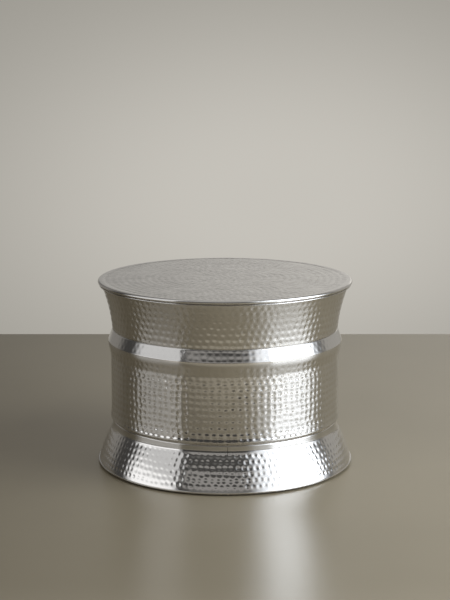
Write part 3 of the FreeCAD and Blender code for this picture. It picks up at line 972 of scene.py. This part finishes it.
def weld_face(piece):
    """Add the marked face and weld it to the rolled edge."""
    sheet = bmesh.new()
    sheet.from_mesh(piece.data)
    marks = [sheet.verts.layers.float[mark] for mark in (HAMMERED, ROWS_HERE)]
    points, faces = round_grid(GRID_CELLS, flat_radius)
    reaches = np.linalg.norm(points, axis=1)
    strength = fade(reaches, -SOFT_BORDER, flat_radius - PLAIN_BORDER, SOFT_BORDER)
    corners = []
    for (x, y), strike in zip(points, strength):
        corner = sheet.verts.new((x, y, rim.z))
        for mark in marks:
            corner[mark] = strike
        corners.append(corner)
    for face in faces:
        sheet.faces.new([corners[index] for index in face])
    bmesh.ops.remove_doubles(sheet, verts=sheet.verts, dist=WELD)
    bmesh.ops.recalc_face_normals(sheet, faces=sheet.faces)
    sheet.to_mesh(piece.data)
    sheet.free()


lid = spin_rolled_edge()
weld_face(lid)
hammer_piece(lid, "top_panel", satin_metal, LID_BLOWS)

# %% [markdown]
# ## Pieces that keep their CAD shape
# The wire, the board, the rivets, the hoop and the glides with their screws are right as they are.
# Building them again would gain nothing, since no hammer touches them. They only need a finish.

# %% Finish the CAD nodes
GLIDES = [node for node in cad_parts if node.startswith("glide_") and node[-1].isdigit()]
CAD_FINISHES = {
    "rim_wire": zinc_steel,
    "top_board": raw_board,
    "upper_joint_rivets": rivet_alloy,
    "lower_joint_rivets": rivet_alloy,
    "base_ring": zinc_steel,
    "glide_screws": zinc_steel,
    "glide_washers": zinc_steel,
    "glide_nuts": zinc_steel,
    **dict.fromkeys(GLIDES, black_plastic),
}

for node, finish in CAD_FINISHES.items():
    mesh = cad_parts[node].data
    mesh.materials.clear()
    mesh.materials.append(finish)
print("finished CAD nodes:", len(CAD_FINISHES))

# %% [markdown]
# ## Floor and light
# Polished metal shows little of itself and much of the room, so the room is half of the look. Two
# tall soft lights stand far out on both sides, as windows would. Each begins over a low sill, is
# brightest just above it, and the right one fades into a soft shade. The floor is satin: at a low
# angle it passes the windows' light on, and that gives the upright walls their pale patches. Its
# colour holds painted light: a painted shadow, with a darker tone of the floor itself, darkens it to
# the left, and a painted pool of light makes it paler in front, where the drum mirrors it. The wall
# behind the table glows a little in its middle, the part of it above the picture lights the lid and
# darkens upwards, and a panel overhead shows the lid's dents from above. The end of the room behind
# the camera is dim but for one paler band. Lamps placed close by would be simpler, but their edges
# show in every dent.

# %% Floor
FLOOR_BACK = 1.42
FLOOR_FRONT = -30.0
FLOOR_WIDTH = 60.0
FLOOR_SURFACE = {"Roughness": 0.3, "Specular IOR Level": 1.0}
# the pale colour is a painted pool of light in front; the deep colour is the floor's darker tone and a
# painted shadow to the left
FLOOR_LIT_POOL = (0.6, 0.525, 0.395)
FLOOR_MIDDLE = (0.33, 0.283, 0.197)
FLOOR_DEEP_AND_SHADOWED = (0.185, 0.154, 0.1)
FLOOR_CLOUDS = 3.0
FLOOR_CLOUD_SHARE = 0.3
SHADOW_TO_MIDDLE = (-0.9, 0.2)
POOL_BEGINS = (0.8, 1.4)
POOL_ENDS = (1.8, 2.8)


def floor_finish():
    """Satin floor, with a painted shadow to the left and a painted pool of light in front of the
    table.
    """
    finish = Finish("plain_floor", FLOOR_SURFACE)
    x, y, _ = finish.split(finish.place)
    cloud = finish.noise(FLOOR_CLOUDS) * FLOOR_CLOUD_SHARE
    # painted shadow: the floor darkens to the left, mixed with its own darker tone and noise clouds
    shade = x.ramp(*SHADOW_TO_MIDDLE) * (1 - FLOOR_CLOUD_SHARE) + cloud
    tint = finish.mixed(shade, FLOOR_DEEP_AND_SHADOWED, FLOOR_MIDDLE)
    # painted pool of light: a paler stretch in front of the table, where the drum mirrors the floor
    ahead = 0.0 - y
    pale = ahead.ramp(*POOL_BEGINS) - ahead.ramp(*POOL_ENDS)
    finish.feed("Base Color", finish.mixed(pale, tint, FLOOR_LIT_POOL))
    return finish.material


def make_floor():
    """A flat floor. Its back edge lies where the wall begins."""
    side = FLOOR_WIDTH / 2
    front = [(-side, FLOOR_FRONT, 0), (side, FLOOR_FRONT, 0)]
    back = [(side, FLOOR_BACK, 0), (-side, FLOOR_BACK, 0)]
    mesh = bpy.data.meshes.new("floor")
    mesh.from_pydata(front + back, [], [(0, 1, 2, 3)])
    mesh.materials.append(floor_finish())
    floor = bpy.data.objects.new("floor", mesh)
    scene.collection.objects.link(floor)


make_floor()
print("floor:", FLOOR_WIDTH, "m wide, back edge at", FLOOR_BACK, "m")

# %% Lamps
LAMP_DISTANCE = 2.6
LAMP_HEIGHT = 4.6
FACE_MIDDLE = 0.5
SILL = (0.012, 0.056)
LOW_PART = (0.09, 0.2)
LAMPS = {
    "light_left": {
        "facing_deg": -69,
        "width": 5.2,
        "stretches": {(-99, -84, -42.9, -42.5): 0.62},
        "low_gain": 0.95,
        "tint": (1.0, 1.0, 1.0),
    },
    "light_right": {
        "facing_deg": 60,
        "width": 7.4,
        "stretches": {(43.5, 46, 80, 96): 2.5, (20, 42, 86, 106): 1.15},
        "low_gain": 0.45,
        "tint": (0.95, 1.0, 1.06),
    },
}


def glow(tree, facing_deg, width, stretches, low_gain):
    """Light over the lamp's face. Four azimuths, counted from the camera's, bound each radiance."""
    across, up, _ = tree.split(tree.node("ShaderNodeNewGeometry", {}, {}, "Parametric"))
    light = 0.0
    for azimuths_deg, radiance in stretches.items():
        turns = [math.radians(azimuth - facing_deg) for azimuth in azimuths_deg]
        shares = [FACE_MIDDLE + LAMP_DISTANCE * math.tan(turn) / width for turn in turns]
        begin, full, fading, end = shares
        light = light + (across.ramp(begin, full) - across.ramp(fading, end)) * radiance
    return light * up.ramp(*SILL) * (1.0 + low_gain - up.ramp(*LOW_PART) * low_gain)


def make_lamp(name, facing_deg, width, stretches, low_gain, tint):
    """A tall soft light that stands on the floor and faces the table."""
    lamp = bpy.data.lights.new(name, "AREA")
    lamp.shape = "RECTANGLE"
    lamp.size, lamp.size_y = width, LAMP_HEIGHT
    lamp.energy = math.pi * width * LAMP_HEIGHT
    lamp.color = tint
    lamp.use_nodes = True
    light = glow(Tree(lamp.node_tree), facing_deg, width, stretches, low_gain)
    lamp.node_tree.links.new(light.socket, lamp.node_tree.nodes["Emission"].inputs["Color"])

    turn = math.radians(facing_deg)
    aside, ahead = LAMP_DISTANCE * math.sin(turn), LAMP_DISTANCE * math.cos(turn)
    holder = bpy.data.objects.new(name, lamp)
    holder.location = (aside, -ahead, LAMP_HEIGHT / 2)
    holder.rotation_euler = (math.radians(UPRIGHT_DEG), 0, turn)
    holder.visible_camera = False
    scene.collection.objects.link(holder)
    return holder


for name, facts in LAMPS.items():
    print(name, "at", [round(side, 2) for side in make_lamp(name, **facts).location])

# %% Room
WALL = (0.56, 0.537, 0.49)
WALL_EDGE = (0.34, 0.325, 0.29)
WALL_BEGINS = (0.3, 0.6)
WALL_SLANT = 0.1
GLOW_SPOT = (0.02, 0.99, -0.12)
GLOW_NARROWING = 0.6
GLOW_REACH = (0.02, 0.19)
LOFT_LEFT = (0.15, 0.147, 0.14)
LOFT_RIGHT = (1.18, 1.14, 1.07)
LOFT_ACROSS = (-0.4, 0.4)
LOFT_BEGINS = (0.02, 0.12)
LOFT_DARKENS = (0.1, 0.36)
LOFT_FALL = 0.65
SIDE_LEFT = (0.23, 0.218, 0.2)
SIDE_RIGHT = (0.38, 0.365, 0.335)
SIDE_ACROSS = (-0.3, 0.3)
SIDE_BEGINS = (0.3, 0.5)
CEILING = (0.2, 0.196, 0.187)
CEILING_BEGINS = (0.5, 0.8)
PANEL = (0.56, 0.55, 0.53)
PANEL_BEGINS = (0.84, 0.95)
DIM = (0.055, 0.053, 0.05)
DIM_BAND = (0.33, 0.318, 0.302)
BAND_BEGINS = (0.24, 0.3)
BAND_ENDS = (0.42, 0.47)
BAND_SIDE = (0.5, 0.66)


def back_wall(tree, x, y, z):
    """The wall behind the table, the part of it above the picture and the walls beside it."""
    narrowed = tree.join(x * GLOW_NARROWING, y, z)
    far = tree.vector("DISTANCE", {0: narrowed, 1: GLOW_SPOT}, "Value")
    wall = tree.mixed(far.ramp(*GLOW_REACH), WALL, WALL_EDGE)
    loft = tree.mixed(x.ramp(*LOFT_ACROSS), LOFT_LEFT, LOFT_RIGHT)
    loft = tree.mixed(z.ramp(*LOFT_DARKENS) * LOFT_FALL, loft, DIM)
    wall = tree.mixed(z.ramp(*LOFT_BEGINS), wall, loft)
    side = tree.mixed(x.ramp(*SIDE_ACROSS), SIDE_LEFT, SIDE_RIGHT)
    return tree.mixed(abs(x).ramp(*SIDE_BEGINS), wall, side)


def front_wall(tree, x, z):
    """The dim end of the room behind the camera, with its paler band."""
    band = z.ramp(*BAND_BEGINS) * (1.0 - z.ramp(*BAND_ENDS)) * (1.0 - abs(x).ramp(*BAND_SIDE))
    return tree.mixed(band, DIM, DIM_BAND)


def make_room():
    """The room as light from every direction."""
    world = bpy.data.worlds.new("room")
    world.use_nodes = True
    scene.world = world
    tree = Tree(world.node_tree)
    x, y, z = tree.split(tree.node("ShaderNodeTexCoord", {}, {}, "Generated"))
    behind = (y + x * WALL_SLANT).ramp(*WALL_BEGINS)
    room = tree.mixed(behind, front_wall(tree, x, z), back_wall(tree, x, y, z))
    room = tree.mixed(z.ramp(*CEILING_BEGINS), room, CEILING)
    room = tree.mixed(z.ramp(*PANEL_BEGINS), room, PANEL)
    world.node_tree.links.new(room.socket, world.node_tree.nodes["Background"].inputs["Color"])
    print("room:", len(world.node_tree.nodes), "nodes")


make_room()
